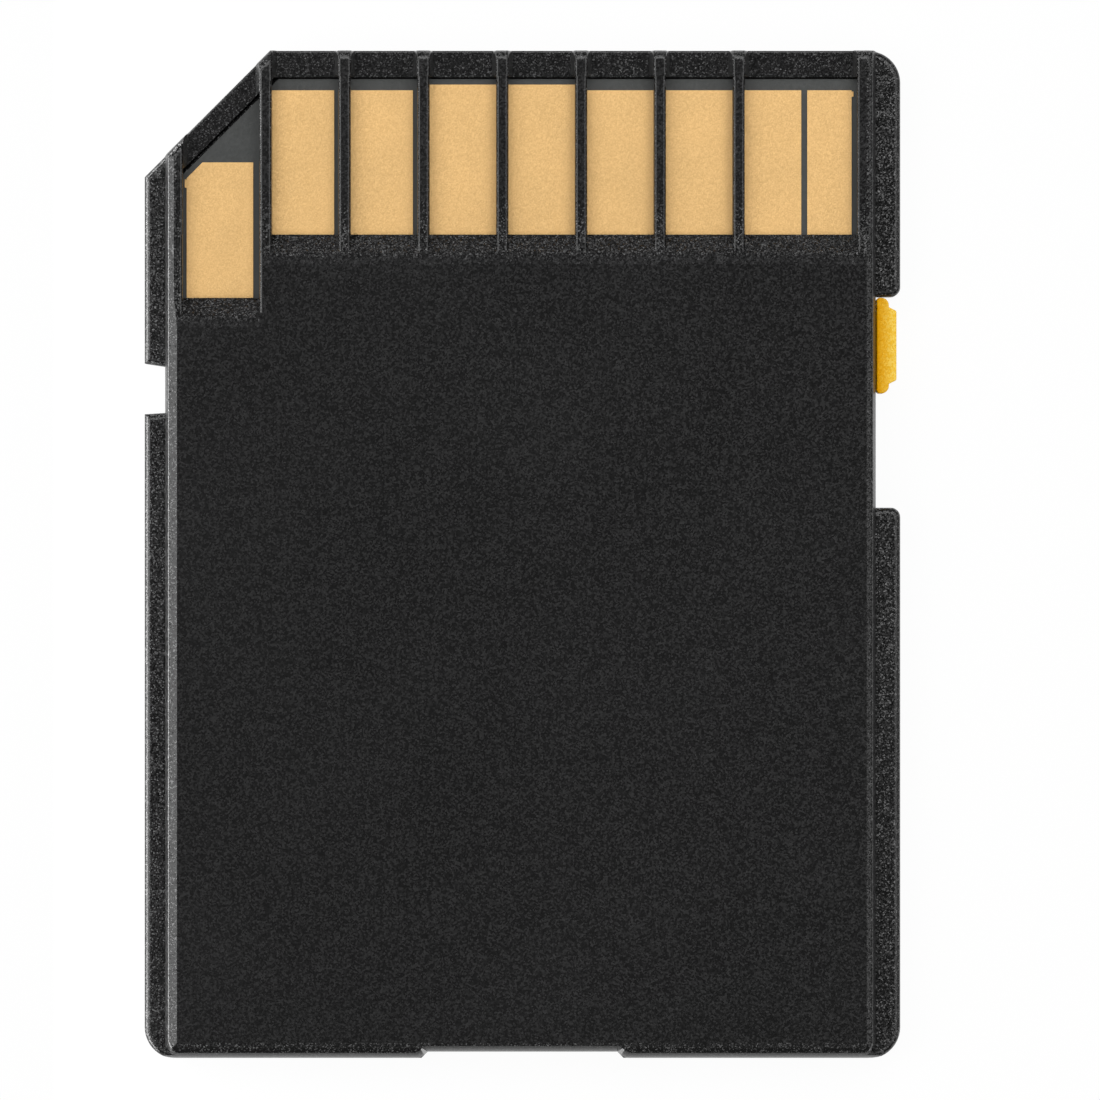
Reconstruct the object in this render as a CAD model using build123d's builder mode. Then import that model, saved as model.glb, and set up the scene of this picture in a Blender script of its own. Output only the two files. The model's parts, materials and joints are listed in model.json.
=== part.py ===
"""Full-size memory card lying on its label side: two moulded covers, board, contacts and lock switch."""
import os
from math import hypot, radians, tan

from build123d import *

os.makedirs("parts", exist_ok=True)

# Millimetres. X runs across the card, Y towards the contact edge, Z up out of the contact side.
# Card outline
card_width = 24.0
card_length = 32.0
corner_cut = 4.0
corner_radius = 1.0
left_rail = 0.66
right_rail = 0.785

# Thicknesses from the label face up to the main face; they add up to a card of 2.1
label_floor = 0.3
chip_gap = 0.06
flash_height = 0.6
board_thickness = 0.4
contact_thickness = 0.04
contact_recess = 0.7

# Height of the rails below the main face, and of the joint between the covers above the label face
rail_step = 0.7
parting_height = 0.7

# Rounds of the moulded edges
rail_round = 0.2
label_round = 0.2
seam_groove = 0.04

# Raised deck: lean of its walls in degrees, edges of its flat face measured in from the card's edges,
# then its bevels and rounds
deck_draft = 10.0
left_flat = 1.055
right_flat = 1.09
rear_flat = 0.54
rear_bevel = 0.17
rear_bevel_drop = 0.07
rear_edge_drop = 0.26
deck_bevel_drop = 0.11
deck_round = 0.13
deck_corner = 0.36

# Notches in the outline, the first two measured back from the contact edge
key_notch_start = 9.92
key_notch_length = 1.61
key_notch_slope = 0.1
key_notch_rise = 0.04
bay_start = 7.8
bay_length = 6.7
bay_mouth_radius = 0.3
grip_notch_width = 6.03
grip_notch_depth = 0.2

# Contact windows, with depths measured down from the main face and lengths back from the contact edge
contact_pitch = 2.5
first_rib = 3.86
rib_width = 0.375
rib_round = 0.09
rib_flank = 0.14
rib_recess = 0.04
nose_round = 0.3
lip_recess = 0.6
lip_round = 0.06
front_lip = 0.84
corner_lip = 0.7
left_frame = 1.23
right_frame = 1.38
last_bay_least = 3.0
window_end = 5.85
corner_window_end = 7.86
window_edge = 0.32
ramp_run = 0.59
contact_slope = 0.93

# Walls inside the covers
side_wall = 0.3
rear_wall = 0.95
back_skin = 0.3
ledge_width = 0.4
tongue_width = 0.4
tongue_play = 0.04
label_recess = 0.08
label_margin = 1.6

# Board outline and gold contacts
board_gap = 0.05
board_corner_gap = 0.11
contact_side_gap = 0.01
contact_mask_strip = 0.15
narrow_contacts = (1, 2)
contact_front_strip = 0.36
power_front_strip = 0.18
power_contacts = (3, 4)
contact_rear_gap = 0.02
split_gap = 0.19
split_share = 0.56
edge_strip = 0.17
corner_contact_side = 0.11
corner_contact_strip = 0.22
corner_contact_lead = 0.46
corner_contact_cut = 0.5
plating_nub = 0.06
plating_nub_drop = 0.04
edge_nub_length = 0.16
corner_nub_length = 0.26

# Packages under the board
flash_width = 11.0
flash_length = 14.0
flash_rear = 2.2
package_edge = 0.06
controller_size = 6.0
controller_height = 0.5
controller_front = 2.6
chip_part_length = 1.0
chip_part_width = 0.5
chip_part_gap = 0.7
chip_part_offset = 1.2
cap_band = 0.25
cap_step = 0.02
capacitor_height = 0.35
capacitor_count = 4
resistor_height = 0.3
resistor_count = 3

# Lock switch
switch_length = 3.04
switch_body = 0.425
switch_reach = 0.665
switch_end_round = 0.24
switch_heel_round = 0.1
switch_edge_round = 0.05
switch_inset = 0.15
switch_play = 0.03
grip_inset = 0.3
grip_slope = 0.12
grip_round = 0.08
neck_length = 2.0
neck_height = 0.4
flange_length = 2.4
flange_height = 0.8
flange_depth = 0.45
slide_play = 0.04

# Levels that follow from the thicknesses
board_bottom = label_floor + chip_gap + flash_height
board_top = board_bottom + board_thickness
contact_level = board_top + contact_thickness
card_thickness = contact_level + contact_recess
rail_thickness = card_thickness - rail_step
rib_top = card_thickness - rib_recess
lip_top = card_thickness - lip_recess
ceiling = card_thickness - back_skin

# Places that follow from the outline
front_y = card_length / 2
rear_y = -card_length / 2
right_x = card_width / 2
left_x = -card_width / 2
deck_left = left_x + left_rail
deck_right = right_x - right_rail
room_half = deck_right - side_wall
room_front = front_y - front_lip
room_rear = rear_y + rear_wall
board_front = room_front - board_gap
cut_line = left_x - front_y + corner_cut
past_card = 1.0
near = 0.01

# Places of the deck's foot at the joint between the covers, and of the creases round its main face
deck_lean = tan(radians(deck_draft))
foot_spread = deck_lean * (rail_thickness - parting_height)
foot_left = deck_left - foot_spread
foot_right = deck_right + foot_spread
left_crease = left_x + left_flat
right_crease = right_x - right_flat
rear_crease = rear_y + rear_flat
rim_lean = deck_lean * (card_thickness - rail_thickness)
left_bevel = left_crease - deck_left - rim_lean
right_bevel = deck_right - right_crease - rim_lean

# Places of the contact windows and of the ramps behind them
field_left = left_x + left_frame
field_right = right_x - right_frame
rib_gaps = int((field_right - left_x - first_rib - last_bay_least) // contact_pitch)
rib_places = [left_x + first_rib + contact_pitch * i for i in range(rib_gaps + 1)]
frame_left = field_left - rib_width / 2
frame_right = field_right + rib_width / 2
edge_rib_places = [frame_left, rib_places[0], frame_right]
row_rib_places = rib_places[1:]
corner_wall = rib_places[0] - rib_width / 2
window_rear = front_y - window_end
corner_window_rear = front_y - corner_window_end
ramp_foot = board_top + window_edge
ramp_rise = card_thickness - ramp_foot

# Places of the notches
key_front = front_y - key_notch_start
key_rear = key_front - key_notch_length
bay_front = front_y - bay_start
bay_rear = bay_front - bay_length
bay_middle = (bay_front + bay_rear) / 2
bay_floor = deck_right

# Places of the lock switch and its track
switch_front = bay_front - switch_play
switch_rear = switch_front - switch_length
switch_middle = (switch_front + switch_rear) / 2
switch_travel = bay_length - switch_length - 2 * switch_play
track_front = switch_middle + flange_length / 2 + slide_play
track_rear = switch_middle - flange_length / 2 - switch_travel - slide_play
slot_front = switch_middle + neck_length / 2 + slide_play
slot_rear = switch_middle - neck_length / 2 - switch_travel - slide_play
track_inner = room_half - flange_depth - 2 * slide_play
track_half = flange_height / 2 + slide_play
slot_half = neck_height / 2 + slide_play

# Outline of the card before its notches: one corner cut off, three rounded
with BuildSketch() as card_plan:
    Rectangle(card_width, card_length)
    fillet(card_plan.vertices().sort_by(lambda v: v.X - v.Y)[1:], corner_radius)
    chamfer(card_plan.vertices().sort_by(lambda v: v.X - v.Y)[0], corner_cut)

# Switch bay in the right edge, with rounded corners at its mouth
with BuildSketch() as bay_plan:
    with Locations((bay_floor, bay_middle)):
        Rectangle(right_rail + past_card, bay_length, align=(Align.MIN, Align.CENTER))
    with Locations((right_x, bay_middle)):
        Rectangle(past_card, bay_length + 2 * past_card, align=(Align.MIN, Align.CENTER))
    mouth = bay_plan.vertices().group_by(Axis.X)[1]
    fillet(mouth, bay_mouth_radius)

# Shallow grip notch in the trailing edge, with ends sloped at forty-five degrees
grip_mouth = grip_notch_width / 2 + grip_notch_depth + past_card
with BuildSketch() as grip_plan:
    with BuildLine():
        Polyline(
            (-grip_mouth, rear_y - past_card),
            (-grip_notch_width / 2, rear_y + grip_notch_depth),
            (grip_notch_width / 2, rear_y + grip_notch_depth),
            (grip_mouth, rear_y - past_card),
            close=True,
        )
    make_face()

# Key notch in the left edge, its flanks sloping in towards the deck
front_slope = key_notch_slope / left_rail
rear_slope = key_notch_rise / left_rail
with BuildSketch() as key_plan:
    with BuildLine():
        Polyline(
            (left_x - past_card, key_front + front_slope * past_card),
            (deck_left, key_front - key_notch_slope),
            (deck_left, key_rear + key_notch_rise),
            (left_x - past_card, key_rear - rear_slope * past_card),
            close=True,
        )
    make_face()


def room_outline(gap, corner_gap):
    """Outline of the room inside the covers, shrunk by a gap, with its own gap behind the cut corner."""
    corner_line = cut_line + (corner_lip + corner_gap) * 2**0.5
    with BuildSketch() as outline:
        with BuildLine():
            Polyline(
                (-room_half + gap, room_rear + gap),
                (room_half - gap, room_rear + gap),
                (room_half - gap, room_front - gap),
                (corner_line + room_front - gap, room_front - gap),
                (-room_half + gap, -room_half + gap - corner_line),
                close=True,
            )
        make_face()
    return outline.sketch


room_plan = room_outline(0, 0)
tongue_plan = room_outline(tongue_play, tongue_play)
board_plan = room_outline(board_gap, board_corner_gap)



def leaning_block(left, right):
    """Block between two sides, drawn past the contact edge, with leaning walls and the grip notch."""
    with BuildPart() as block:
        with BuildSketch(Plane.XY.offset(parting_height)):
            with Locations((left, rear_y)):
                Rectangle(right - left, card_length + past_card, align=(Align.MIN, Align.MIN))
            add(grip_plan.sketch, mode=Mode.SUBTRACT)
        extrude(amount=card_thickness - parting_height, taper=deck_draft)
        upright_edges = block.edges().filter_by(lambda e: abs(e.tangent_at(0.5).Z) > 0.5)
        rear_edges = upright_edges.group_by(lambda e: e.center().Y)[0]
        fillet(rear_edges, deck_corner)
    return block.part


deck_block = leaning_block(foot_left, foot_right)
trail_block = leaning_block(left_x - past_card, right_x + past_card)

# Openings over the contacts, between the frames and behind the lip
with BuildSketch() as window_plan:
    with Locations((corner_wall, window_rear)):
        Rectangle(field_right - corner_wall, card_length, align=(Align.MIN, Align.MIN))
    with Locations((field_left, corner_window_rear)):
        Rectangle(corner_wall - field_left, card_length, align=(Align.MIN, Align.MIN))
    add(room_plan, mode=Mode.INTERSECT)

# Side view of what stands above the contact deck, and of what stands above the ramp and lip
with BuildSketch() as step_side:
    with BuildLine():
        Polyline(
            (-contact_slope, card_thickness),
            (0, rib_top),
            (card_length, rib_top),
            (card_length, card_thickness + past_card),
            (-contact_slope, card_thickness + past_card),
            close=True,
        )
    make_face()
with BuildSketch() as field_side:
    with BuildLine():
        Polyline(
            (-ramp_run, card_thickness),
            (0, ramp_foot),
            (0, lip_top),
            (card_length, lip_top),
            (card_length, card_thickness + past_card),
            (-ramp_run, card_thickness + past_card),
            close=True,
        )
    make_face()

# End view of what stands above the bevels of the deck's long sides
with BuildSketch() as bevel_end:
    for crease, width in ((left_crease, -2 * left_bevel), (right_crease, 2 * right_bevel)):
        with BuildLine():
            Polyline(
                (crease, card_thickness),
                (crease + width, card_thickness - 2 * deck_bevel_drop),
                (crease + width, card_thickness + past_card),
                (crease, card_thickness + past_card),
                close=True,
            )
        make_face()

# Side view of what stands above the bevels of the trailing edge, drawn with the crease at zero
with BuildSketch() as trail_side:
    with BuildLine():
        Polyline(
            (0, card_thickness),
            (-rear_bevel, card_thickness - rear_bevel_drop),
            (-rear_flat, card_thickness - rear_bevel_drop - rear_edge_drop),
            (-rear_flat, card_thickness + past_card),
            (0, card_thickness + past_card),
            close=True,
        )
    make_face()

# Rounded noses at the contact edge, drawn with the edge at zero and outward to the right
with BuildSketch() as nose_side:
    with Locations((-nose_round, rib_top - nose_round)):
        Rectangle(nose_round + past_card, nose_round + past_card, align=(Align.MIN, Align.MIN))
        Circle(nose_round, mode=Mode.SUBTRACT)
with BuildSketch() as lip_side:
    with Locations((-lip_round, lip_top - lip_round)):
        Rectangle(lip_round + past_card, lip_round + past_card, align=(Align.MIN, Align.MIN))
        Circle(lip_round, mode=Mode.SUBTRACT)

# End views of a rib and of its drafted flanks on the lip
with BuildSketch() as rib_end:
    with Locations((0, board_top)):
        Rectangle(rib_width, rib_top - board_top, align=(Align.CENTER, Align.MIN))
    fillet(rib_end.vertices().group_by(Axis.Y)[-1], rib_round)
with BuildSketch() as flank_end:
    with BuildLine():
        Polyline(
            (-rib_width / 2 - rib_flank, lip_top),
            (rib_width / 2 + rib_flank, lip_top),
            (rib_width / 2, rib_top),
            (-rib_width / 2, rib_top),
            close=True,
        )
    make_face()
with BuildSketch() as round_flank_end:
    add(flank_end.sketch)
    fillet(round_flank_end.vertices().group_by(Axis.Y)[-1], rib_round)

# Round of the wall beside the corner contact's window, as seen along the card
with BuildSketch() as wall_end:
    with Locations((corner_wall + rib_round, card_thickness - rib_round)):
        Rectangle(rib_round + past_card, rib_round + past_card, align=(Align.MAX, Align.MIN))
        Circle(rib_round, mode=Mode.SUBTRACT)


def side_plane(x, y):
    """Plane that looks along X from a place, with Y to the right and Z up."""
    return Plane(origin=(x, y, 0), x_dir=(0, 1, 0), z_dir=(1, 0, 0))


def cut_plane(x):
    """Plane that looks along the cut corner from a place on it, outward to the right and Z up."""
    return Plane(origin=(x, x - cut_line, 0), x_dir=(-1, 1, 0), z_dir=(1, 1, 0))


# Ribs along the frames and behind the cut corner, with flanks only where they stand on the lip
with BuildPart() as edge_ribs:
    with BuildSketch(Plane.XZ.offset(-front_y)):
        with Locations([(x, 0) for x in edge_rib_places]):
            add(round_flank_end.sketch)
    extrude(amount=window_end)
    with BuildSketch(Plane.XY):
        add(window_plan.sketch)
    extrude(amount=card_thickness, mode=Mode.SUBTRACT)
    with BuildSketch(Plane.XZ.offset(-front_y)):
        with Locations([(x, 0) for x in edge_rib_places]):
            add(rib_end.sketch)
    extrude(amount=corner_window_end + ramp_run)
    with BuildSketch(Plane.XY):
        with Locations((left_crease, 0)):
            Rectangle(right_crease - left_crease, card_length, align=(Align.MIN, Align.CENTER))
        add(card_plan.sketch, mode=Mode.INTERSECT)
    extrude(amount=card_thickness, mode=Mode.INTERSECT)

# Drafted nose of a rib on the lip, rounded down to the contact edge and along its sides
with BuildPart() as rib_nose:
    with BuildSketch(Plane.XZ.offset(-front_y)):
        add(flank_end.sketch)
    extrude(amount=front_lip)
    cross_edges = rib_nose.edges().filter_by(Axis.X)
    fillet(cross_edges.sort_by(lambda e: e.center().Y + e.center().Z)[-1], nose_round)
    top_edges = rib_nose.edges().filter_by(lambda e: e.center().Z > rib_top - nose_round)
    fillet(top_edges.filter_by(lambda e: abs(e.tangent_at(0.5).X) < 0.5), rib_round)

# Ribs between the contacts of the row
with BuildPart() as row_ribs:
    with BuildSketch(Plane.XZ.offset(nose_round - front_y)):
        with Locations([(x, 0) for x in row_rib_places]):
            add(rib_end.sketch)
    extrude(amount=window_end + ramp_run - nose_round)
    with Locations([(x, 0, 0) for x in row_rib_places]):
        add(rib_nose.part)

# Raised deck on its own: leaning walls, bevels and rounds at its rim, then a step down to the contact deck
with BuildPart() as deck:
    add(deck_block)
    with BuildSketch(Plane.XY):
        add(card_plan.sketch)
    extrude(amount=card_thickness, mode=Mode.INTERSECT)
    with BuildSketch(Plane.XZ.offset(-front_y)):
        add(bevel_end.sketch)
    extrude(amount=card_length, mode=Mode.SUBTRACT)
    with BuildSketch(side_plane(left_x, rear_crease)):
        add(trail_side.sketch)
    extrude(amount=card_width, mode=Mode.SUBTRACT)
    rims = deck.edges().filter_by(lambda e: e.center().Z > card_thickness - 2 * deck_bevel_drop)
    rims = rims.filter_by(lambda e: abs(e.tangent_at(0.5).Z) < 0.9)
    left_rims = rims.filter_by(lambda e: e.center().X < left_crease - left_bevel * 0.9)
    right_rims = rims.filter_by(lambda e: e.center().X > right_crease + right_bevel * 0.9)
    fillet(left_rims + right_rims, deck_round)
    with BuildSketch(side_plane(corner_wall, window_rear)):
        add(step_side.sketch)
    extrude(amount=card_width, mode=Mode.SUBTRACT)
    with BuildSketch(side_plane(corner_wall, corner_window_rear)):
        add(step_side.sketch)
    extrude(amount=-card_width, mode=Mode.SUBTRACT)

# Contact-side cover: rails and raised deck, then the contact windows, the ribs and the room inside
with BuildPart() as back_cover:
    with BuildSketch(Plane.XY.offset(parting_height)):
        add(card_plan.sketch)
        add(bay_plan.sketch, mode=Mode.SUBTRACT)
        add(key_plan.sketch, mode=Mode.SUBTRACT)
    extrude(amount=rail_thickness - parting_height)
    fillet(back_cover.edges().group_by(Axis.Z)[-1], rail_round)
    chamfer(back_cover.edges().group_by(Axis.Z)[0], seam_groove)
    add(trail_block, mode=Mode.INTERSECT)
    add(deck.part)
    # Notches through the rails
    with BuildSketch(Plane.XY):
        add(key_plan.sketch)
        add(bay_plan.sketch)
    extrude(amount=card_thickness, mode=Mode.SUBTRACT)
    # Ramps, lip and windows of the contact field
    with BuildSketch(side_plane(corner_wall, window_rear)):
        add(field_side.sketch)
    extrude(amount=frame_right - corner_wall, mode=Mode.SUBTRACT)
    with BuildSketch(side_plane(corner_wall, corner_window_rear)):
        add(field_side.sketch)
    extrude(amount=frame_left - corner_wall, mode=Mode.SUBTRACT)
    with BuildSketch(Plane.XY):
        add(window_plan.sketch)
    extrude(amount=card_thickness, mode=Mode.SUBTRACT)
    # Round along the wall beside the corner contact's window, level and then down the slope to the ribs
    wall_front = window_rear - contact_slope
    wall_rear = corner_window_rear - ramp_run + rib_round * ramp_run / ramp_rise
    with BuildSketch(Plane.XZ.offset(-wall_front)):
        add(wall_end.sketch)
    extrude(amount=wall_front - wall_rear, mode=Mode.SUBTRACT)
    with BuildSketch(Plane.XZ.offset(-wall_front)):
        add(wall_end.sketch)
    slant = hypot(contact_slope, rib_recess)
    extrude(amount=slant, dir=(0, contact_slope, -rib_recess), mode=Mode.SUBTRACT)
    # Rounded edge of the lip, then the ribs and their rounded noses
    with BuildSketch(side_plane(frame_right, front_y)):
        add(lip_side.sketch)
    extrude(amount=-card_width, mode=Mode.SUBTRACT)
    with BuildSketch(cut_plane(frame_left)):
        add(lip_side.sketch)
    extrude(amount=corner_cut, mode=Mode.SUBTRACT)
    add(edge_ribs.part)
    with BuildSketch(side_plane(right_x, front_y)):
        add(nose_side.sketch)
    extrude(amount=-card_width, mode=Mode.SUBTRACT)
    with BuildSketch(cut_plane(left_x)):
        add(nose_side.sketch)
    extrude(amount=corner_cut * 2, mode=Mode.SUBTRACT)
    add(row_ribs.part)
    # Room for the board and, over it, the relief under the main face
    with BuildSketch(Plane.XY):
        add(room_plan)
    extrude(amount=board_top, mode=Mode.SUBTRACT)
    relief_rear = room_rear + ledge_width
    relief_front = corner_window_rear - ramp_run - back_skin
    with BuildSketch(Plane.XY.offset(board_top)):
        with Locations((0, (relief_front + relief_rear) / 2)):
            Rectangle(2 * (room_half - ledge_width), relief_front - relief_rear)
    extrude(amount=ceiling - board_top, mode=Mode.SUBTRACT)
    # Upper half of the slot for the switch's neck
    with BuildSketch(Plane.XY.offset(parting_height)):
        with Locations((room_half, (slot_front + slot_rear) / 2)):
            Rectangle(2 * right_rail, slot_front - slot_rear)
    extrude(amount=slot_half, mode=Mode.SUBTRACT)
back_cover.part.label = "back_cover"
export_step(back_cover.part, "parts/back_cover.step")

# Label-side cover: a tray with a tongue that lines up the other cover and carries the board
with BuildPart() as front_cover:
    with BuildSketch(Plane.XY):
        add(card_plan.sketch)
    extrude(amount=parting_height)
    fillet(front_cover.edges().group_by(Axis.Z)[0], label_round)
    chamfer(front_cover.edges().group_by(Axis.Z)[-1], seam_groove)
    with BuildSketch(Plane.XY):
        add(bay_plan.sketch)
        add(key_plan.sketch)
        add(grip_plan.sketch)
    extrude(amount=parting_height, mode=Mode.SUBTRACT)
    with BuildSketch(Plane.XY.offset(label_floor)):
        add(room_plan)
    extrude(amount=parting_height, mode=Mode.SUBTRACT)
    with BuildSketch(Plane.XY.offset(label_floor)):
        add(tongue_plan)
        offset(tongue_plan, amount=-tongue_width, mode=Mode.SUBTRACT)
    extrude(amount=board_bottom - label_floor)
    # Track for the switch's flange and lower half of the slot for its neck
    with BuildSketch(Plane.XY.offset(parting_height - track_half)):
        with Locations(((track_inner + room_half) / 2, (track_front + track_rear) / 2)):
            Rectangle(room_half - track_inner, track_front - track_rear)
    extrude(amount=card_thickness, mode=Mode.SUBTRACT)
    with BuildSketch(Plane.XY.offset(parting_height)):
        with Locations((room_half, (slot_front + slot_rear) / 2)):
            Rectangle(2 * right_rail, slot_front - slot_rear)
    extrude(amount=-slot_half, mode=Mode.SUBTRACT)
    # Shallow recess moulded into the label face
    with BuildSketch(Plane.XY):
        offset(card_plan.sketch, amount=-label_margin)
    extrude(amount=label_recess, mode=Mode.SUBTRACT)
front_cover.part.label = "front_cover"
export_step(front_cover.part, "parts/front_cover.step")

# Circuit board, cut away beside the switch's track
with BuildPart() as circuit_board:
    with BuildSketch(Plane.XY.offset(board_bottom)):
        add(board_plan)
        with Locations((track_inner, (track_front + track_rear) / 2)):
            Rectangle(
                card_width, track_front - track_rear, align=(Align.MIN, Align.CENTER), mode=Mode.SUBTRACT
            )
    extrude(amount=board_thickness)
circuit_board.part.label = "circuit_board"
export_step(circuit_board.part, "parts/circuit_board.step")

# Gold contacts of the row, as the left, right and front edge of each
row_rear = window_rear + contact_rear_gap
row_contacts = []
for number in range(1, rib_gaps + 1):
    left = rib_places[number - 1] + rib_width / 2 + contact_side_gap
    right_strip = contact_mask_strip if number in narrow_contacts else contact_side_gap
    front_strip = power_front_strip if number in power_contacts else contact_front_strip
    right = rib_places[number] - rib_width / 2 - right_strip
    row_contacts.append((left, right, board_front - front_strip))
# The last bay holds two contacts side by side
last_left = rib_places[-1] + rib_width / 2 + contact_side_gap
last_right = field_right - edge_strip
split_left = last_left + (last_right - last_left - split_gap) * split_share
row_contacts.append((last_left, split_left, board_front - contact_front_strip))
row_contacts.append((split_left + split_gap, last_right, board_front - contact_front_strip))
for number, (left, right, front) in enumerate(row_contacts, start=1):
    with BuildPart() as contact:
        with BuildSketch(Plane.XY.offset(board_top)):
            with Locations((left, row_rear)):
                Rectangle(right - left, front - row_rear, align=(Align.MIN, Align.MIN))
            if number == len(row_contacts):
                # Stub of the plating line at the last contact's corner
                with Locations((right - near, front - plating_nub_drop)):
                    Rectangle(plating_nub + near, edge_nub_length, align=(Align.MIN, Align.MAX))
        extrude(amount=contact_thickness)
    contact.part.label = f"contact_{number}"
    export_step(contact.part, f"parts/contact_{number}.step")

# Contact behind the cut corner, with its own corner cut and a stub of its plating line
corner_number = len(row_contacts) + 1
corner_left = field_left + corner_contact_side
corner_right = corner_wall - corner_contact_strip
corner_front = front_y - corner_cut + corner_contact_lead
corner_rear = corner_window_rear + contact_rear_gap
with BuildPart() as corner_contact:
    with BuildSketch(Plane.XY.offset(board_top)) as corner_face:
        with Locations((corner_left, corner_rear)):
            Rectangle(corner_right - corner_left, corner_front - corner_rear, align=(Align.MIN, Align.MIN))
        chamfer(corner_face.vertices().sort_by(lambda v: v.X - v.Y)[0], corner_contact_cut)
        with Locations((corner_left + near, corner_front - corner_contact_cut - plating_nub_drop)):
            Rectangle(plating_nub + near, corner_nub_length, align=(Align.MAX, Align.MAX))
    extrude(amount=contact_thickness)
corner_contact.part.label = f"contact_{corner_number}"
export_step(corner_contact.part, f"parts/contact_{corner_number}.step")

# Memory package under the rear of the board
with BuildPart() as flash_memory:
    with BuildSketch(Plane.XY.offset(board_bottom)):
        with Locations((0, rear_y + flash_rear)):
            Rectangle(flash_width, flash_length, align=(Align.CENTER, Align.MIN))
    extrude(amount=-flash_height)
    chamfer(flash_memory.edges().group_by(Axis.Z)[0], package_edge)
flash_memory.part.label = "flash_memory"
export_step(flash_memory.part, "parts/flash_memory.step")

# Controller package under the contacts
controller_rear = front_y - controller_front - controller_size
with BuildPart() as controller:
    with BuildSketch(Plane.XY.offset(board_bottom)):
        with Locations((0, controller_rear)):
            Rectangle(controller_size, controller_size, align=(Align.CENTER, Align.MIN))
    extrude(amount=-controller_height)
    chamfer(controller.edges().group_by(Axis.Z)[0], package_edge)
controller.part.label = "controller"
export_step(controller.part, "parts/controller.step")

# Capacitors and resistors in columns beside the controller, each with thicker end caps
part_pitch = chip_part_width + chip_part_gap
columns = []
for number in range(1, capacitor_count + 1):
    columns.append((f"capacitor_{number}", -1, number, capacitor_height))
for number in range(1, resistor_count + 1):
    columns.append((f"resistor_{number}", 1, number, resistor_height))
for name, side, number, height in columns:
    column_x = side * (controller_size / 2 + chip_part_offset)
    part_y = controller_rear + part_pitch * number
    with BuildPart() as chip_part:
        with BuildSketch(Plane.XY.offset(board_bottom)):
            with Locations((column_x, part_y)):
                Rectangle(chip_part_length, chip_part_width)
        extrude(amount=-height)
        with BuildSketch(Plane.XY.offset(board_bottom - height)):
            with Locations((column_x, part_y)):
                Rectangle(chip_part_length - 2 * cap_band, chip_part_width)
        extrude(amount=cap_step, mode=Mode.SUBTRACT)
    chip_part.part.label = name
    export_step(chip_part.part, f"parts/{name}.step")

# Lock switch: a body with a grip in the bay, a neck through the wall and a flange behind it
body_in = bay_floor + switch_play
body_out = bay_floor + switch_body
grip_out = bay_floor + switch_reach
with BuildPart() as write_protect_switch:
    with BuildSketch(Plane.XY.offset(switch_inset)) as switch_plan:
        with BuildLine():
            Polyline(
                (body_in, switch_rear),
                (body_out, switch_rear),
                (body_out, switch_rear + grip_inset),
                (grip_out, switch_rear + grip_inset + grip_slope),
                (grip_out, switch_front - grip_inset - grip_slope),
                (body_out, switch_front - grip_inset),
                (body_out, switch_front),
                (body_in, switch_front),
                close=True,
            )
        make_face()
        ends = switch_plan.vertices().group_by(Axis.Y)
        fillet([ends[0].sort_by(Axis.X)[-1], ends[-1].sort_by(Axis.X)[-1]], switch_end_round)
        heels = switch_plan.vertices().group_by(Axis.X)[0]
        fillet(heels, switch_heel_round)
        grip_corners = switch_plan.vertices().group_by(Axis.X)[-1]
        fillet(grip_corners, grip_round)
    extrude(amount=rail_thickness - 2 * switch_inset)
    fillet(write_protect_switch.edges().group_by(Axis.Z)[-1], switch_edge_round)
    chamfer(write_protect_switch.edges().group_by(Axis.Z)[0], switch_edge_round)
    with BuildSketch(Plane.XY.offset(parting_height - neck_height / 2)):
        with Locations(((room_half + body_in) / 2, switch_middle)):
            Rectangle(body_in - room_half + 2 * slide_play, neck_length)
    extrude(amount=neck_height)
    with BuildSketch(Plane.XY.offset(parting_height - flange_height / 2)):
        with Locations((room_half - slide_play, switch_middle)):
            Rectangle(flange_depth, flange_length, align=(Align.MAX, Align.CENTER))
    extrude(amount=flange_height)
write_protect_switch.part.label = "write_protect_switch"
export_step(write_protect_switch.part, "parts/write_protect_switch.step")
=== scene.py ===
"""Looks of the memory card: moulded covers, gold contacts, board and lock switch on a pale floor."""

import json
import math

import bpy
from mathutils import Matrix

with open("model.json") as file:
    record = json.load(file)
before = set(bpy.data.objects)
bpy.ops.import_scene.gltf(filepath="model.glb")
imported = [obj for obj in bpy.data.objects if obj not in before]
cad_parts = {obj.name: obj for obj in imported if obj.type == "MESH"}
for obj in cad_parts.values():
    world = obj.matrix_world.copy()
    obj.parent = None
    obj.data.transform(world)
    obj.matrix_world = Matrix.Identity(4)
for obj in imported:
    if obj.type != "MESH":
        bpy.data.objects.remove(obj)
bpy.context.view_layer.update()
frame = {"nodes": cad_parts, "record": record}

MM = 0.001

# Levels of the contact side above the label face
MAIN_FACE = 2.1 * MM
RIB_TOP = 2.06 * MM
LIP_TOP = 1.5 * MM
RAIL_TOP = 1.4 * MM

# Heights over which the grain changes from rough to fine at the main face, and slack of the other levels
FACE_ROUGH = MAIN_FACE - 0.02 * MM
FACE_FINE = MAIN_FACE - 0.003 * MM
RIB_SLACK = 0.01 * MM
LIP_SLACK = 0.03 * MM

# Flat part of the main face: the middle and half width between its side bevels, and its rear end
FLAT_MIDDLE = -0.0175 * MM
FLAT_HALF = 10.9275 * MM
FLAT_REAR = -15.46 * MM

# Along the rib tops the grain grows coarser between two places, and the lip has a share of the fine grain
RIB_FINE = 11.9 * MM
RIB_COARSE = 10.4 * MM
LIP_FINE_SHARE = 0.4

# How far rough facets tip on level faces and on flanks, and how much further on the ramps
LEVEL_TIP = 0.27
FLANK_TIP = 0.17
RAMP_EXTRA_TIP = 0.15

# Lean of a face, as its normal's share to one side: where a flank or a ramp begins, and where it is full
FLANK_LEAN = (0.1, 0.3)
RAMP_LEAN = (0.3, 0.5)

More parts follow.
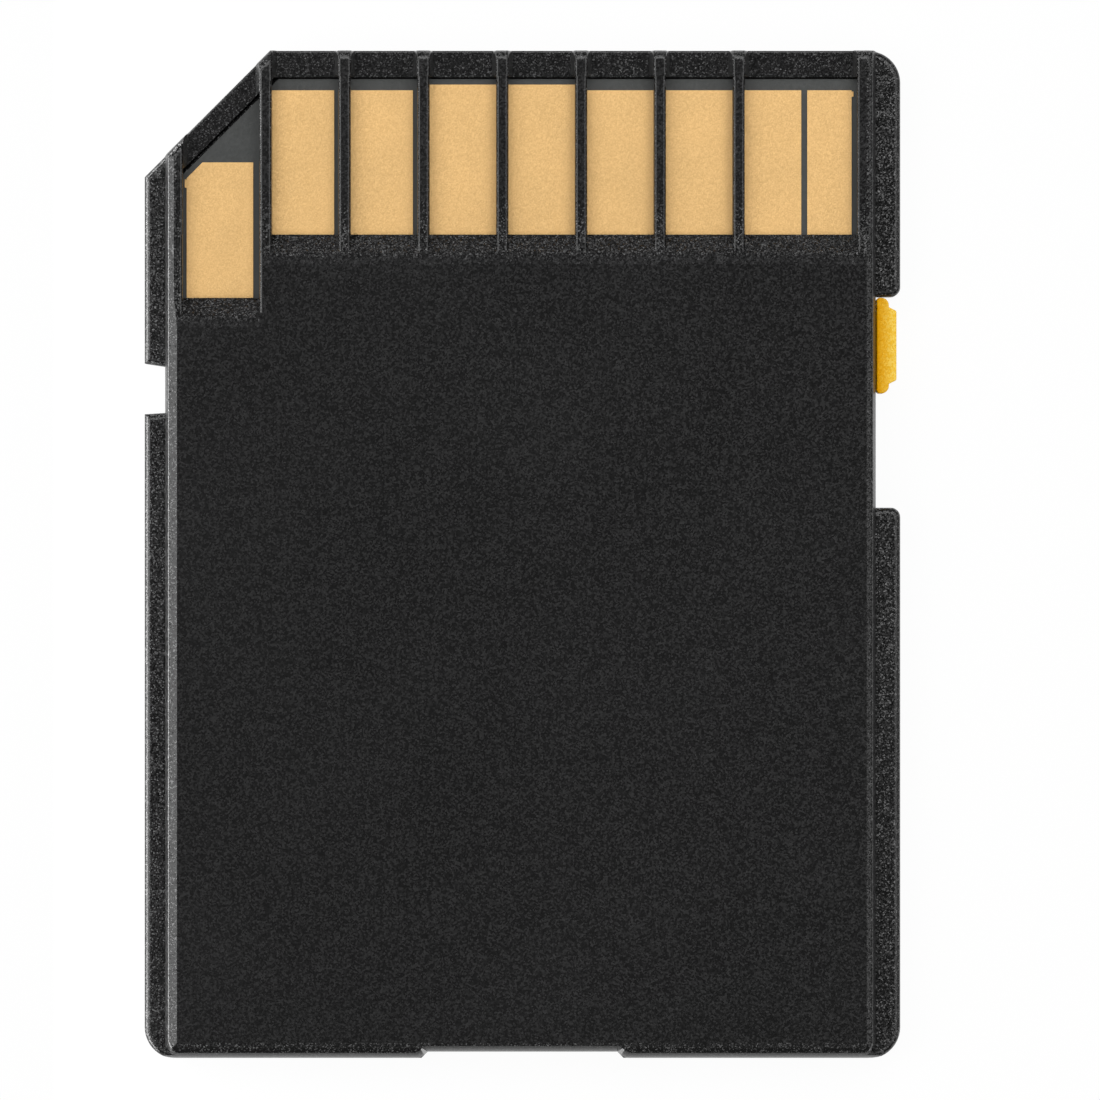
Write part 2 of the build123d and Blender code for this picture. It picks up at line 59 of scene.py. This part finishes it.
# Steep walls: least lean to the rear or side, then the heights over which their added roughness grows
REAR_WALL_LEAN = 0.75
REAR_WALL_FOOT = 0.7 * MM
REAR_WALL_TOP = 1.9 * MM
REAR_MATTE = (0.1, 0.65)
SIDE_WALL_LEAN = 0.93
SIDE_WALL_FOOT = RAIL_TOP - 0.1 * MM
SIDE_MATTE = (0.0, 0.2)

# Moulded grain: scale and share of the clouds among its facets; a facet tips as its colour leaves the middle
CLOUD_SCALE = 0.4
CLOUD_SHARE = 0.15
CLOUD_DETAIL = 2.0
MIDDLE_COLOUR = (0.5, 0.5, 0.5)

# Handling smear: steps of its noise, and how much each step keeps
SMEAR_DETAIL = 4.0
SMEAR_KEEP = 0.55

# Spans in which most values of grain tone and smear lie
TONE_SPAN = (0.25, 0.75)
SMEAR_SPAN = (0.3, 0.7)

# Lock switch: where its body ends and its grip begins
SWITCH_BODY = 11.3 * MM
SWITCH_GRIP = 11.75 * MM

# Photograph's framing: width of the picture at a level of the card, and the card point at its middle
PICTURE_WIDTH = 34.96 * MM
PICTURE_LEVEL = 1.0 * MM
PICTURE_MIDDLE = (0.875 * MM, 0.156 * MM)
CAMERA_HEIGHT = 0.35
SENSOR_WIDTH = 36.0
CLIP_START = 0.01
CLIP_END = 20.0

# White floor: its size, its gap below the card, its colour, and how much of it glows by itself
FLOOR_SIZE = 4.0
FLOOR_GAP = 0.01 * MM
FLOOR_COLOUR = (0.9, 0.9, 0.9, 1.0)
FLOOR_GLOW = 0.95

# Brightness of the tent by height, from the horizon at 0 to overhead at 1
TENT = ((0.0, 0.17), (0.68, 0.22), (0.8, 1.0), (0.95, 1.0), (0.982, 0.05), (1.0, 0.05))

# Strips close beside two edges of the card: direction in degrees, and reach from the card's middle
EDGE_STRIPS = {
    "left_strip": {
        "azimuth": 180.0,
        "reach": 15.0 * MM,
        "low": 1.35 * MM,
        "high": 2.9 * MM,
        "length": 40.0 * MM,
        "radiance": 12.0,
    },
    "front_strip": {
        "azimuth": 90.0,
        "reach": 19.0 * MM,
        "low": 4.2 * MM,
        "high": 5.2 * MM,
        "length": 26.0 * MM,
        "radiance": 1.9,
    },
}

# Softboxes round the card: direction and angular size in degrees, all at one distance
SOFTBOX_DISTANCE = 0.8
SOFTBOXES = {
    "left_top_box": {"azimuth": 180.0, "elevation": 46.0, "rise": 26.0, "spread": 30.0, "radiance": 3.0},
    "right_box": {"azimuth": 0.0, "elevation": 34.0, "rise": 14.0, "spread": 60.0, "radiance": 1.5},
    "high_box": {"azimuth": 0.0, "elevation": 60.0, "rise": 20.0, "spread": 50.0, "radiance": 0.6},
    "front_box": {"azimuth": 80.0, "elevation": 62.0, "rise": 24.0, "spread": 60.0, "radiance": 2.1},
}

# A Mix node repeats its socket names for each kind of value: places of first, second and result
MIX_SOCKETS = {"RGBA": (6, 7, 2), "VECTOR": (4, 5, 1)}


def feed(tree, slot, term):
    """Link a socket to the slot, or set a plain number or vector on it."""
    if isinstance(term, (int, float, tuple)):
        slot.default_value = term
    else:
        tree.links.new(term, slot)


def maths(tree, operation, *terms):
    """Result of a Math node."""
    node = tree.nodes.new("ShaderNodeMath")
    node.operation = operation
    for slot, term in zip(node.inputs, terms):
        feed(tree, slot, term)
    return node.outputs["Value"]


def vector_maths(tree, operation, *terms):
    """Result of a Vector Math node."""
    node = tree.nodes.new("ShaderNodeVectorMath")
    node.operation = operation
    for slot, term in zip(node.inputs, terms):
        feed(tree, slot, term)
    return node.outputs["Vector"]


def scaled_vector(tree, vector, scale):
    """Vector times a number."""
    node = tree.nodes.new("ShaderNodeVectorMath")
    node.operation = "SCALE"
    feed(tree, node.inputs["Vector"], vector)
    feed(tree, node.inputs["Scale"], scale)
    return node.outputs["Vector"]


def axes_of(tree, vector):
    """X, Y and Z of a vector."""
    split = tree.nodes.new("ShaderNodeSeparateXYZ")
    feed(tree, split.inputs["Vector"], vector)
    return split.outputs["X"], split.outputs["Y"], split.outputs["Z"]


def value_range(tree, source, span, result):
    """Value mapped from one span to another, and held at its ends."""
    node = tree.nodes.new("ShaderNodeMapRange")
    node.inputs["From Min"].default_value, node.inputs["From Max"].default_value = span
    node.inputs["To Min"].default_value, node.inputs["To Max"].default_value = result
    feed(tree, node.inputs["Value"], source)
    return node.outputs["Result"]


def mixed(tree, kind, mask, first, second):
    """Colour or vector that is the first where the mask is 0 and the second where it is 1."""
    first_place, second_place, result_place = MIX_SOCKETS[kind]
    mix = tree.nodes.new("ShaderNodeMix")
    mix.data_type = kind
    feed(tree, mix.inputs["Factor"], mask)
    feed(tree, mix.inputs[first_place], first)
    feed(tree, mix.inputs[second_place], second)
    return mix.outputs[result_place]


def tone_ramp(tree, source, dark, pale, span=TONE_SPAN):
    """Colour that runs from dark to pale as a value goes through the span."""
    ramp = tree.nodes.new("ShaderNodeValToRGB")
    for stop, position, colour in zip(ramp.color_ramp.elements, span, (dark, pale)):
        stop.position = position
        stop.color = (*colour, 1.0)
    feed(tree, ramp.inputs["Fac"], source)
    return ramp.outputs["Color"]


def new_group(name, inputs, outputs):
    """Empty shader node group with its sockets."""
    group = bpy.data.node_groups.new(name, "ShaderNodeTree")
    for socket, kind in inputs:
        group.interface.new_socket(socket, in_out="INPUT", socket_type=kind)
    for socket, kind in outputs:
        group.interface.new_socket(socket, in_out="OUTPUT", socket_type=kind)
    start = group.nodes.new("NodeGroupInput")
    end = group.nodes.new("NodeGroupOutput")
    return group, start, end


def moulded_grain_group():
    """Spark-eroded mould grain: a tone for colour, and a normal of small facets tipped by the amount."""
    group, start, end = new_group(
        "moulded_grain",
        [("Vector", "NodeSocketVector"), ("Scale", "NodeSocketFloat"), ("Amount", "NodeSocketFloat")],
        [("Tone", "NodeSocketFloat"), ("Normal", "NodeSocketVector")],
    )
    facet = group.nodes.new("ShaderNodeTexVoronoi")
    feed(group, facet.inputs["Vector"], start.outputs["Vector"])
    feed(group, facet.inputs["Scale"], start.outputs["Scale"])
    cloud = group.nodes.new("ShaderNodeTexNoise")
    cloud.inputs["Detail"].default_value = CLOUD_DETAIL
    feed(group, cloud.inputs["Vector"], start.outputs["Vector"])
    feed(group, cloud.inputs["Scale"], maths(group, "MULTIPLY", start.outputs["Scale"], CLOUD_SCALE))
    chance, _, _ = axes_of(group, facet.outputs["Color"])
    facet_part = maths(group, "MULTIPLY", chance, 1.0 - CLOUD_SHARE)
    tone = maths(group, "MULTIPLY_ADD", cloud.outputs["Fac"], CLOUD_SHARE, facet_part)
    feed(group, end.inputs["Tone"], tone)
    way = vector_maths(group, "SUBTRACT", facet.outputs["Color"], MIDDLE_COLOUR)
    tip = scaled_vector(group, way, start.outputs["Amount"])
    surface = group.nodes.new("ShaderNodeNewGeometry")
    leaned = vector_maths(group, "ADD", surface.outputs["Normal"], tip)
    feed(group, end.inputs["Normal"], vector_maths(group, "NORMALIZE", leaned))
    return group


def handling_smear_group():
    """Slow variation that fingers and rubbing leave on a finish."""
    group, start, end = new_group(
        "handling_smear",
        [("Vector", "NodeSocketVector"), ("Scale", "NodeSocketFloat")],
        [("Smear", "NodeSocketFloat")],
    )
    smear = group.nodes.new("ShaderNodeTexNoise")
    smear.inputs["Detail"].default_value = SMEAR_DETAIL
    smear.inputs["Roughness"].default_value = SMEAR_KEEP
    feed(group, smear.inputs["Vector"], start.outputs["Vector"])
    feed(group, smear.inputs["Scale"], start.outputs["Scale"])
    feed(group, end.inputs["Smear"], smear.outputs["Fac"])
    return group


GRAIN = moulded_grain_group()
SMEAR = handling_smear_group()


def blank_finish(name):
    """Material with a Principled shader and the object's own coordinates, ready for its nodes."""
    finish = bpy.data.materials.new(name)
    finish.use_nodes = True
    tree = finish.node_tree
    place = tree.nodes.new("ShaderNodeTexCoord")
    return finish, tree, tree.nodes["Principled BSDF"], place


def grain_node(tree, place, scale, amount):
    """Moulded grain at the object's own coordinates."""
    grain = tree.nodes.new("ShaderNodeGroup")
    grain.node_tree = GRAIN
    feed(tree, grain.inputs["Vector"], place.outputs["Object"])
    feed(tree, grain.inputs["Scale"], scale)
    feed(tree, grain.inputs["Amount"], amount)
    return grain


def smear_node(tree, place, scale):
    """Handling smear at the object's own coordinates."""
    smear = tree.nodes.new("ShaderNodeGroup")
    smear.node_tree = SMEAR
    feed(tree, smear.inputs["Vector"], place.outputs["Object"])
    feed(tree, smear.inputs["Scale"], scale)
    return smear


def grain_roughness(tree, grain, smooth, rough):
    """Roughness that follows the grain's tone."""
    return value_range(tree, grain.outputs["Tone"], TONE_SPAN, (smooth, rough))


def smear_roughness(tree, smear, smooth, rough):
    """Roughness that follows the handling smear."""
    return value_range(tree, smear.outputs["Smear"], SMEAR_SPAN, (smooth, rough))


def set_surface(tree, shader, colour, roughness, normal):
    """Colour, roughness and normal of a finish."""
    feed(tree, shader.inputs["Base Color"], colour)
    feed(tree, shader.inputs["Roughness"], roughness)
    feed(tree, shader.inputs["Normal"], normal)


def fine_grain_mask(tree, place):
    """Share of fine grain: all on the flat main face and the front of the rib tops, some on the lip; the
    rest takes the coarse grain with its painted glints.
    """
    across, along, height = axes_of(tree, place.outputs["Object"])
    face = value_range(tree, height, (FACE_ROUGH, FACE_FINE), (0.0, 1.0))
    deck = maths(tree, "GREATER_THAN", height, RIB_TOP - RIB_SLACK)
    tops = maths(tree, "MULTIPLY", deck, value_range(tree, along, (RIB_COARSE, RIB_FINE), (0.0, 1.0)))
    aside = maths(tree, "ABSOLUTE", maths(tree, "SUBTRACT", across, FLAT_MIDDLE))
    inside = maths(tree, "LESS_THAN", aside, FLAT_HALF)
    ahead = maths(tree, "GREATER_THAN", along, FLAT_REAR)
    flat = maths(tree, "MULTIPLY", inside, ahead)
    smooth = maths(tree, "MULTIPLY", maths(tree, "MAXIMUM", face, tops), flat)
    lip = maths(tree, "COMPARE", height, LIP_TOP, LIP_SLACK)
    return maths(tree, "MAXIMUM", smooth, maths(tree, "MULTIPLY", lip, LIP_FINE_SHARE))


def facet_tip(tree, place):
    """How far rough facets tip: little on bevels and rounds at the sides and back, most on the ramps."""
    across, along, _ = axes_of(tree, place.outputs["Normal"])
    aside = maths(tree, "ABSOLUTE", across)
    behind = maths(tree, "MULTIPLY", along, -1.0)
    flank = maths(tree, "MAXIMUM", aside, behind)
    flank_tip = value_range(tree, flank, FLANK_LEAN, (LEVEL_TIP, FLANK_TIP))
    ramp_tip = value_range(tree, along, RAMP_LEAN, (0.0, RAMP_EXTRA_TIP))
    return maths(tree, "ADD", flank_tip, ramp_tip)


def wall_matte(tree, place):
    """Roughness that steep walls add: growing upwards at the rear, and above the rails at the sides."""
    across, along, _ = axes_of(tree, place.outputs["Normal"])
    _, _, height = axes_of(tree, place.outputs["Object"])
    rear = maths(tree, "LESS_THAN", along, -REAR_WALL_LEAN)
    rear_matte = value_range(tree, height, (REAR_WALL_FOOT, REAR_WALL_TOP), REAR_MATTE)
    side = maths(tree, "GREATER_THAN", maths(tree, "ABSOLUTE", across), SIDE_WALL_LEAN)
    side_matte = value_range(tree, height, (SIDE_WALL_FOOT, RAIL_TOP), SIDE_MATTE)
    at_rear = maths(tree, "MULTIPLY", rear, rear_matte)
    at_side = maths(tree, "MULTIPLY", side, side_matte)
    return maths(tree, "MAXIMUM", at_rear, at_side)


def cover_plastic():
    """Black moulded plastic: fine grain on the main face, coarse sparkling grain on rails, ramps, ribs and
    lip, its pale specks of colour being painted glints.
    """
    finish, tree, shader, place = blank_finish("cover_plastic_moulded")
    mask = fine_grain_mask(tree, place)
    fine = grain_node(tree, place, scale=19000.0, amount=0.12)
    rough = grain_node(tree, place, scale=26000.0, amount=facet_tip(tree, place))
    smear = smear_node(tree, place, scale=240.0)
    fine_tone = tone_ramp(
        tree,
        fine.outputs["Tone"],
        dark=(0.0055, 0.0055, 0.0056),
        pale=(0.029, 0.029, 0.0293),
        span=(0.33, 0.97),
    )
    # Coarse grain tone: near black as the plastic's own random tone, with pale specks at its top that are
    # painted glints.
    grain_and_glint_tone = tone_ramp(
        tree,
        rough.outputs["Tone"],
        dark=(0.001, 0.001, 0.001),
        pale=(0.135, 0.135, 0.1355),
        span=(0.74, 0.97),
    )
    colour = mixed(tree, "RGBA", mask, grain_and_glint_tone, fine_tone)
    sheen = smear_roughness(tree, smear, smooth=0.17, rough=0.2)
    roughness = maths(tree, "ADD", sheen, wall_matte(tree, place))
    facets = mixed(tree, "VECTOR", mask, rough.outputs["Normal"], fine.outputs["Normal"])
    set_surface(tree, shader, colour, roughness, vector_maths(tree, "NORMALIZE", facets))
    return finish


def contact_gold():
    """Satin gold plating with a fine etched grain and faint cloudy variation of its sheen."""
    finish, tree, shader, place = blank_finish("contact_gold_plating")
    shader.inputs["Metallic"].default_value = 1.0
    grain = grain_node(tree, place, scale=28000.0, amount=0.07)
    smear = smear_node(tree, place, scale=700.0)
    colour = tone_ramp(tree, grain.outputs["Tone"], dark=(0.757, 0.48, 0.201), pale=(0.813, 0.527, 0.23))
    roughness = smear_roughness(tree, smear, smooth=0.41, rough=0.46)
    set_surface(tree, shader, colour, roughness, grain.outputs["Normal"])
    return finish


def board_mask():
    """Dark solder mask, smooth with a faint mottling of the laminate under it."""
    finish, tree, shader, place = blank_finish("board_solder_mask")
    grain = grain_node(tree, place, scale=14000.0, amount=0.05)
    smear = smear_node(tree, place, scale=500.0)
    colour = tone_ramp(tree, smear.outputs["Smear"], dark=(0.038, 0.04, 0.039), pale=(0.054, 0.057, 0.055))
    roughness = grain_roughness(tree, grain, smooth=0.32, rough=0.4)
    set_surface(tree, shader, colour, roughness, grain.outputs["Normal"])
    return finish


def switch_plastic():
    """Yellow moulded switch: deep orange at its foot, paler and grained on its grip."""
    finish, tree, shader, place = blank_finish("switch_yellow_plastic")
    shader.inputs["Specular IOR Level"].default_value = 0.05
    grain = grain_node(tree, place, scale=20000.0, amount=0.2)
    across, _, _ = axes_of(tree, place.outputs["Object"])
    reach = value_range(tree, across, (SWITCH_BODY, SWITCH_GRIP), (0.0, 1.0))
    foot_tone = tone_ramp(tree, grain.outputs["Tone"], dark=(0.98, 0.43, 0.001), pale=(1.0, 0.49, 0.004))
    grip_tone = tone_ramp(tree, grain.outputs["Tone"], dark=(0.96, 0.56, 0.04), pale=(1.0, 0.69, 0.12))
    colour = mixed(tree, "RGBA", reach, foot_tone, grip_tone)
    roughness = grain_roughness(tree, grain, smooth=0.36, rough=0.46)
    set_surface(tree, shader, colour, roughness, grain.outputs["Normal"])
    return finish


def package_resin():
    """Matte black moulding resin of the chip packages."""
    finish, tree, shader, place = blank_finish("package_moulding_resin")
    grain = grain_node(tree, place, scale=12000.0, amount=0.3)
    colour = tone_ramp(tree, grain.outputs["Tone"], dark=(0.014, 0.014, 0.015), pale=(0.032, 0.032, 0.034))
    roughness = grain_roughness(tree, grain, smooth=0.6, rough=0.75)
    set_surface(tree, shader, colour, roughness, grain.outputs["Normal"])
    return finish


def chip_body(name, dark, pale):
    """Fired body of a chip part."""
    finish, tree, shader, place = blank_finish(name)
    grain = grain_node(tree, place, scale=14000.0, amount=0.15)
    colour = tone_ramp(tree, grain.outputs["Tone"], dark, pale)
    roughness = grain_roughness(tree, grain, smooth=0.45, rough=0.6)
    set_surface(tree, shader, colour, roughness, grain.outputs["Normal"])
    return finish


FINISHES = {
    "cover_plastic": cover_plastic(),
    "contact_gold": contact_gold(),
    "board_mask": board_mask(),
    "switch_plastic": switch_plastic(),
    "package_resin": package_resin(),
    "capacitor_body": chip_body("capacitor_ceramic", dark=(0.36, 0.25, 0.16), pale=(0.46, 0.33, 0.22)),
    "resistor_body": chip_body("resistor_glaze", dark=(0.02, 0.02, 0.024), pale=(0.05, 0.05, 0.055)),
}


def dress_nodes():
    """Each CAD node gets the finish of its slot in the record."""
    for row in frame["record"]["subparts"]:
        node = frame["nodes"][row["node"]]
        for slot in node.material_slots:
            slot.material = FINISHES[row["material_slot"]]


def floor_white():
    """White that glows to the camera and in reflections, and elsewhere takes light and shadow."""
    finish = bpy.data.materials.new("floor_white")
    finish.use_nodes = True
    tree = finish.node_tree
    tree.nodes.remove(tree.nodes["Principled BSDF"])
    lit = tree.nodes.new("ShaderNodeBsdfDiffuse")
    lit.inputs["Color"].default_value = FLOOR_COLOUR
    glow = tree.nodes.new("ShaderNodeEmission")
    glow.inputs["Strength"].default_value = 1.0
    rays = tree.nodes.new("ShaderNodeLightPath")
    direct = maths(tree, "MAXIMUM", rays.outputs["Is Camera Ray"], rays.outputs["Is Glossy Ray"])
    seen = maths(tree, "MAXIMUM", direct, rays.outputs["Is Transmission Ray"])
    mix = tree.nodes.new("ShaderNodeMixShader")
    feed(tree, mix.inputs["Fac"], maths(tree, "MULTIPLY", seen, FLOOR_GLOW))
    feed(tree, mix.inputs[1], lit.outputs["BSDF"])
    feed(tree, mix.inputs[2], glow.outputs["Emission"])
    feed(tree, tree.nodes["Material Output"].inputs["Surface"], mix.outputs["Shader"])
    return finish


def pale_floor():
    """White floor that still takes the card's shadow."""
    bpy.ops.object.select_all(action="DESELECT")
    bpy.ops.mesh.primitive_plane_add(size=FLOOR_SIZE, location=(0.0, 0.0, -FLOOR_GAP))
    floor = bpy.context.object
    floor.name = "floor"
    floor.data.materials.append(floor_white())


def area_lamp(name, height, width, location, elevation, azimuth, radiance):
    """Rectangular lamp that stands at the given direction from the card, faces it, and isn't seen itself."""
    lamp = bpy.data.lights.new(name, "AREA")
    lamp.shape = "RECTANGLE"
    lamp.size = height
    lamp.size_y = width
    lamp.energy = radiance * math.pi * width * height
    stand = bpy.data.objects.new(name, lamp)
    bpy.context.collection.objects.link(stand)
    stand.location = location
    stand.rotation_euler = (0.0, math.pi / 2.0 - elevation, azimuth)
    stand.visible_camera = False


def edge_strip(name, azimuth, reach, low, high, length, radiance):
    """Narrow upright lamp close beside one edge of the card, so that its glint stays near that edge."""
    around = math.radians(azimuth)
    location = (reach * math.cos(around), reach * math.sin(around), (low + high) / 2.0)
    area_lamp(name, high - low, length, location, 0.0, around, radiance)


def softbox(name, azimuth, elevation, rise, spread, radiance):
    """Soft lamp further off, with its direction and angular size in degrees."""
    around, up = math.radians(azimuth), math.radians(elevation)
    height = 2.0 * SOFTBOX_DISTANCE * math.tan(math.radians(rise) / 2.0)
    width = 2.0 * SOFTBOX_DISTANCE * math.tan(math.radians(spread) / 2.0)
    level = SOFTBOX_DISTANCE * math.cos(up)
    location = (level * math.cos(around), level * math.sin(around), SOFTBOX_DISTANCE * math.sin(up))
    area_lamp(name, height, width, location, up, around, radiance)


def studio_world():
    """Tent round the card: bright high up, dim near the horizon and in the opening overhead."""
    world = bpy.data.worlds.new("studio")
    world.use_nodes = True
    tree = world.node_tree
    back = tree.nodes["Background"]
    back.inputs["Color"].default_value = (1.0, 1.0, 1.0, 1.0)
    way = tree.nodes.new("ShaderNodeTexCoord")
    _, _, height = axes_of(tree, way.outputs["Generated"])
    tent = tree.nodes.new("ShaderNodeValToRGB")
    stops = tent.color_ramp.elements
    for number, (position, glow) in enumerate(TENT):
        stop = stops[number] if number < 2 else stops.new(position)
        stop.position = position
        stop.color = (glow, glow, glow, 1.0)
    feed(tree, tent.inputs["Fac"], height)
    rays = tree.nodes.new("ShaderNodeLightPath")
    strength = tree.nodes.new("ShaderNodeMix")
    strength.data_type = "FLOAT"
    strength.inputs["B"].default_value = 1.0
    feed(tree, strength.inputs["Factor"], rays.outputs["Is Camera Ray"])
    feed(tree, strength.inputs["A"], tent.outputs["Color"])
    feed(tree, back.inputs["Strength"], strength.outputs["Result"])
    bpy.context.scene.world = world


def studio():
    """Tent, the strips beside the left and the contact edge, and the softboxes."""
    studio_world()
    for name, values in EDGE_STRIPS.items():
        edge_strip(name, **values)
    for name, values in SOFTBOXES.items():
        softbox(name, **values)


def photo_camera():
    """Camera straight above the card, framed as in the photograph."""
    lens = bpy.data.cameras.new("photo_camera")
    lens.sensor_width = SENSOR_WIDTH
    lens.lens = SENSOR_WIDTH * (CAMERA_HEIGHT - PICTURE_LEVEL) / PICTURE_WIDTH
    lens.clip_start = CLIP_START
    lens.clip_end = CLIP_END
    camera = bpy.data.objects.new("photo_camera", lens)
    camera.location = (*PICTURE_MIDDLE, CAMERA_HEIGHT)
    bpy.context.collection.objects.link(camera)
    bpy.context.scene.camera = camera


photo_camera()
studio()
pale_floor()
dress_nodes()
bpy.context.scene.view_settings.view_transform = "Standard"
